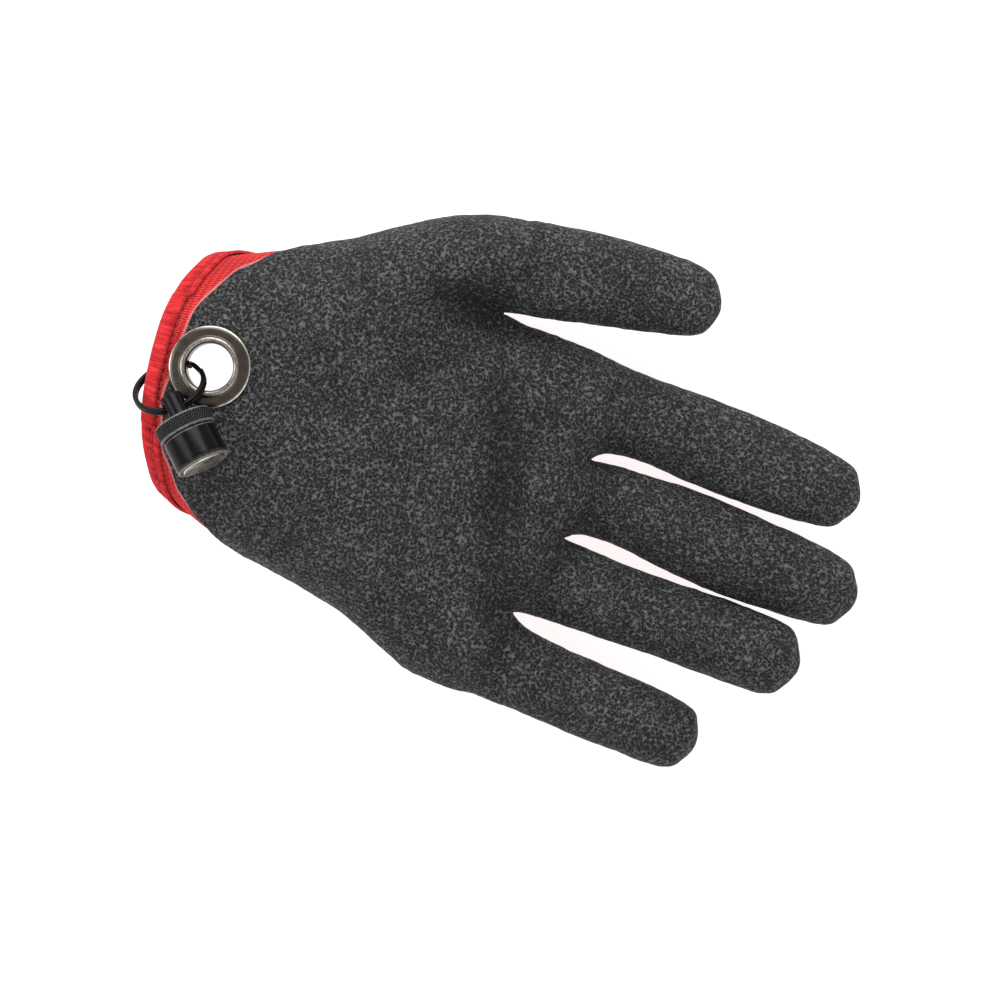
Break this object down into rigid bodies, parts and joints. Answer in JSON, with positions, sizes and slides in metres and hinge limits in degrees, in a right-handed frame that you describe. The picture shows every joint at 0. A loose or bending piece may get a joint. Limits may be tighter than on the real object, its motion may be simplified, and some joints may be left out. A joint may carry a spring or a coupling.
{
  "type": "dipped fishing glove",
  "caption": "Left-hand knitted work glove with a black crinkled rubber palm coating, a grommet in the cuff, a split ring and a magnetic release for hanging it up.",
  "frame": {"origin": "under the middle of the whole glove, on the flat surface it lies on", "axes": "+X from the cuff to the fingertips, +Y to the thumb's side, +Z out of the palm; the back of the hand lies on Z = 0"},
  "size_m": [0.2028, 0.1338, 0.0572],
  "materials": {
    "knit": "knitted, matte",
    "coating": "crinkled, matte",
    "hem": "knitted and overlocked",
    "eyelet": "gunmetal plated",
    "ring_wire": "black, semi-gloss",
    "release_black": "black anodised",
    "magnet": "nickel plated"
  },
  "bodies": {
    "root": {"knit_liner": "knit", "index_knit": "knit", "middle_knit": "knit", "ring_knit": "knit", "little_knit": "knit", "thumb_knit": "knit", "latex_coating": "coating", "cuff_hem": "hem", "grommet_eyelet": "eyelet", "grommet_washer": "eyelet", "split_ring": "ring_wire", "release_stem": "release_black", "release_cup": "release_black", "release_magnet": "magnet"}
  },
  "joints": []
}
